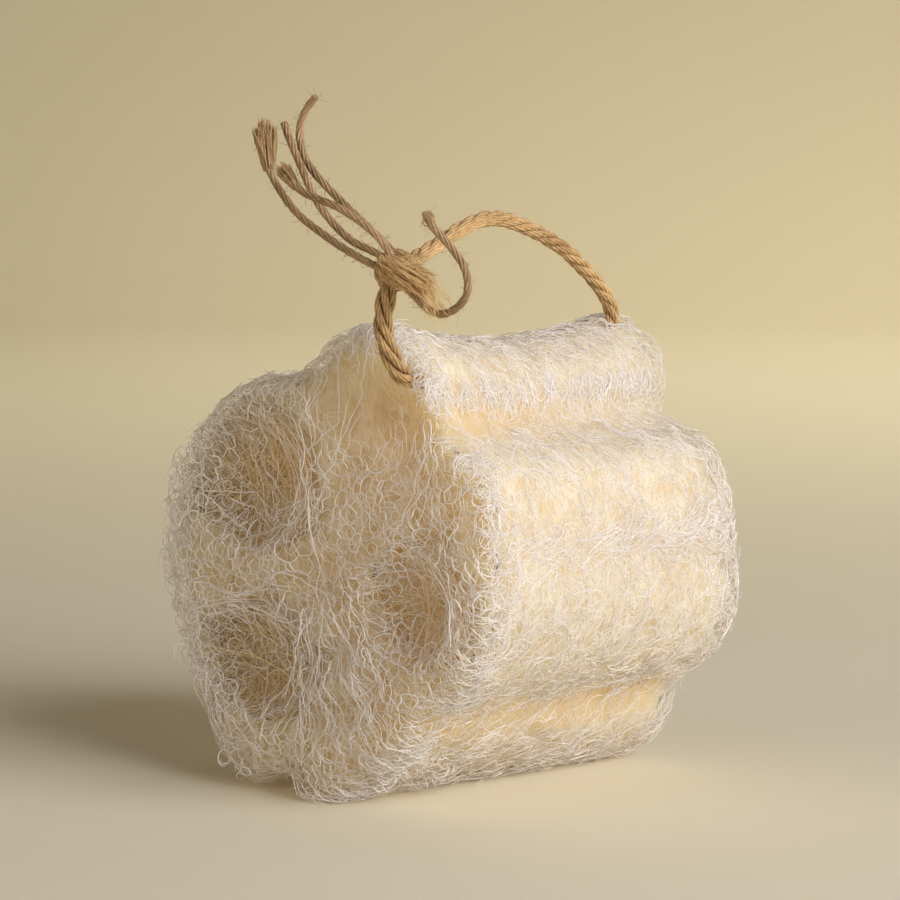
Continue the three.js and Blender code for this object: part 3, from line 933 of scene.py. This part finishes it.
# Loose tails of the twine
# The ends beyond the knot are untwisted into single yarns. They stand up and to the left, stiff as
# dry jute is, and one curls round to the right. Three of them end in a frayed brush.
TAILS = {
    "twine_tail_brush": (
        (24, -47.1, 110.3), (22, -47.4, 110.8), (16.5, -47.4, 112.6), (10.8, -47.3, 114.8),
        (5.1, -47.2, 117.4), (-0.7, -47, 120.4), (-5.2, -46.8, 123.9), (-8.7, -46.5, 127.5),
        (-11.3, -46.2, 131.1), (-12.4, -46, 133.5),
    ),
    "twine_tail_middle": (
        (22.9, -45, 112), (17.3, -44.8, 113.9), (11.5, -44.6, 115.7), (6.6, -44.4, 118.6),
        (2.1, -44.2, 122.4), (-1.2, -44, 126.4), (-4, -43.5, 130.3), (-7, -42.7, 133.9),
        (-9.4, -41.9, 136.7), (-10.8, -41.6, 139),
    ),
    "twine_tail_long": (
        (23.6, -44, 113), (17.9, -42.8, 116.1), (12.7, -42.3, 119.1), (7, -42, 122.7),
        (2, -41.8, 126), (-2.6, -41.5, 129.3), (-6, -40.9, 132.9), (-7.7, -40.2, 136.5),
        (-7.2, -39.8, 140), (-5.4, -39.6, 142.7), (-3.6, -39.5, 144.2),
    ),
    "twine_tail_short": (
        (25.6, -47.4, 112.8), (22.6, -48.6, 117), (17.2, -49.5, 120.6), (11.9, -49.6, 122.8),
        (6.9, -49.6, 124.1), (2.6, -49.5, 125.4), (-0.9, -49.4, 127.7),
    ),
    "twine_curl": (
        (29, -47.8, 107.9), (33.2, -48.2, 105), (36.8, -48.8, 103.2), (40.4, -49, 102.7),
        (43.8, -49, 103.9), (46.2, -48.8, 106.2), (46.5, -48.5, 108.9), (45, -48, 112),
        (41.7, -47.5, 115), (38, -47, 117.6), (35.2, -46.5, 119.5), (33.1, -46, 121.3),
    ),
}
# A darker copy of the jute for the tails: painted shade.
SHADED_JUTE = fibre_material(
    "jute loose yarn", (0.52, 0.35, 0.20), (0.27, 0.17, 0.09), JUTE_ROUGHNESS, bump=0.6
)
BRUSHES = {  # root, tip, reach at each and number of fibres
    "twine_tail_brush": ((-0.0103, -0.0463, 0.1294), (-0.0122, -0.0460, 0.1392), 0.0010, 0.0024, 320),
    "twine_tail_short": ((0.0008, -0.0494, 0.1262), (-0.0038, -0.0493, 0.1306), 0.0008, 0.0016, 120),
    "twine_curl": ((0.0350, -0.0465, 0.1197), (0.0326, -0.0459, 0.1219), 0.0008, 0.0010, 70),
}
tail_lines = [loop_line]
for node, route in TAILS.items():
    line = laid(route, TWINE_STEP)
    tail_lines.append(line)
    tail = strands(f"{node}_yarn", *yarn(line), SHADED_JUTE, sides=5, tip=0.8)
    part_piece(tail, node)
    ends = []
    if node in BRUSHES:
        root, tip, root_reach, tip_reach, count = BRUSHES[node]
        frayed = brush(root, tip, root_reach, tip_reach, count, 0.00012, 0.00012, rng)
        end = strands(f"{node}_end", *frayed, JUTE_ENDS)
        part_piece(end, node)
        ends.append(end)

# Fuzz of the twine
# Loose jute hairs that stand out all along the loop and the tails, as they do on unpolished twine.
# They are ends of the same fibre that the twist doesn't hold.
TWINE_HAIRS = 800
HAIR_ROOT = 0.0008


def hairs(lines, reach, count, rng):
    routes, radii = [], []
    for _ in range(count):
        line = lines[int(rng.integers(len(lines)))]
        at = line[int(rng.integers(len(line)))]
        out = rng.normal(0, 1, 3)
        out /= np.linalg.norm(out)
        bend = rng.normal(0, 0.5, 3)
        far = rng.uniform(0.0004, 0.0016)
        routes.append([at + out * (reach + far * t) + bend * far * t * t for t in (0, 0.4, 0.75, 1)])
        radii.append(rng.uniform(0.00003, 0.00005))
    return routes, radii


fuzz = strands("twine_fuzz", *hairs(tail_lines, HAIR_ROOT, TWINE_HAIRS, rng), JUTE_ENDS, tip=0.5)
part_piece(fuzz, "twine_loop")

# Floor, light and camera
# A plain pale sweep of paper, a broad soft light from the right, a weak warm fill from the left, two
# soft lights on the paper behind, and the view of the photo.
FLOOR_TONE = (0.80, 0.735, 0.575)
FLOOR_RADIUS = 1.4
SWEEP_RADIUS = 0.8
SWEEP_STEPS = 10
CAMERA_DISTANCE = 0.74
bm = bmesh.new()
bmesh.ops.create_circle(bm, cap_ends=True, radius=FLOOR_RADIUS, segments=96)
edges = [edge for edge in bm.edges if edge.is_boundary]
for step in range(1, SWEEP_STEPS + 1):
    turn = step / SWEEP_STEPS * math.pi / 2
    made = bmesh.ops.extrude_edge_only(bm, edges=edges)["geom"]
    edges = [item for item in made if isinstance(item, bmesh.types.BMEdge)]
    for vert in {vert for edge in edges for vert in edge.verts}:
        flat = Vector((vert.co.x, vert.co.y, 0)).normalized()
        rise = Vector((0, 0, SWEEP_RADIUS * (1 - math.cos(turn))))
        vert.co = flat * (FLOOR_RADIUS + SWEEP_RADIUS * math.sin(turn)) + rise
bmesh.ops.recalc_face_normals(bm, faces=bm.faces)
for face in bm.faces:
    face.smooth = True
sweep_mesh = bpy.data.meshes.new("sweep")
bm.to_mesh(sweep_mesh)
bm.free()
sweep = link("sweep", sweep_mesh)
paper = bpy.data.materials.new("paper")
paper.use_nodes = True
matt = paper.node_tree.nodes["Principled BSDF"]
matt.inputs["Base Color"].default_value = (*FLOOR_TONE, 1)
matt.inputs["Roughness"].default_value = 0.95
sweep_mesh.materials.append(paper)


def soft_light(name, place, aim, size, power, colour, spread=180):
    data = bpy.data.lights.new(name, "AREA")
    data.shape = "DISK"
    data.size = size
    data.energy = power
    data.color = colour
    data.spread = math.radians(spread)
    lamp = link(name, data)
    lamp.location = place
    lamp.rotation_euler = (Vector(aim) - Vector(place)).to_track_quat("-Z", "Y").to_euler()


soft_light("key", (1.13, 0.0, 0.56), (0, 0, 0.05), 1.0, 19.5, (1.0, 0.98, 0.97))
soft_light("fill", (-0.45, -1.1, 0.25), (0, 0, 0.05), 0.8, 3.9, (1.0, 0.87, 0.74))
soft_light("backdrop", (0.1, 1.5, 1.3), (-1.2, 1.4, 0.2), 0.8, 1.7, (1.0, 0.80, 0.38), 100)
soft_light("far floor", (-0.15, 0.95, 1.2), (-0.55, 1.05, 0), 1.2, 4.0, (1.0, 0.91, 0.70), 90)
world = bpy.data.worlds.new("studio")
world.use_nodes = True
air = world.node_tree.nodes["Background"]
air.inputs["Color"].default_value = (1.0, 0.92, 0.80, 1)
air.inputs["Strength"].default_value = 0.06
bpy.context.scene.world = world
bpy.context.scene.view_settings.view_transform = "Standard"

AZIMUTH = math.radians(43)
ELEVATION = math.radians(6)
AIM = Vector((-0.0011, -0.0025, 0.0698))
away = Vector(
    (
        math.sin(AZIMUTH) * math.cos(ELEVATION),
        -math.cos(AZIMUTH) * math.cos(ELEVATION),
        math.sin(ELEVATION),
    )
)
lens = bpy.data.cameras.new("camera")
lens.lens = 140
lens.sensor_width = 36
lens.clip_end = 20
camera = link("camera", lens)
camera.location = AIM + away * CAMERA_DISTANCE
camera.rotation_euler = (-away).to_track_quat("-Z", "Y").to_euler()
bpy.context.scene.camera = camera
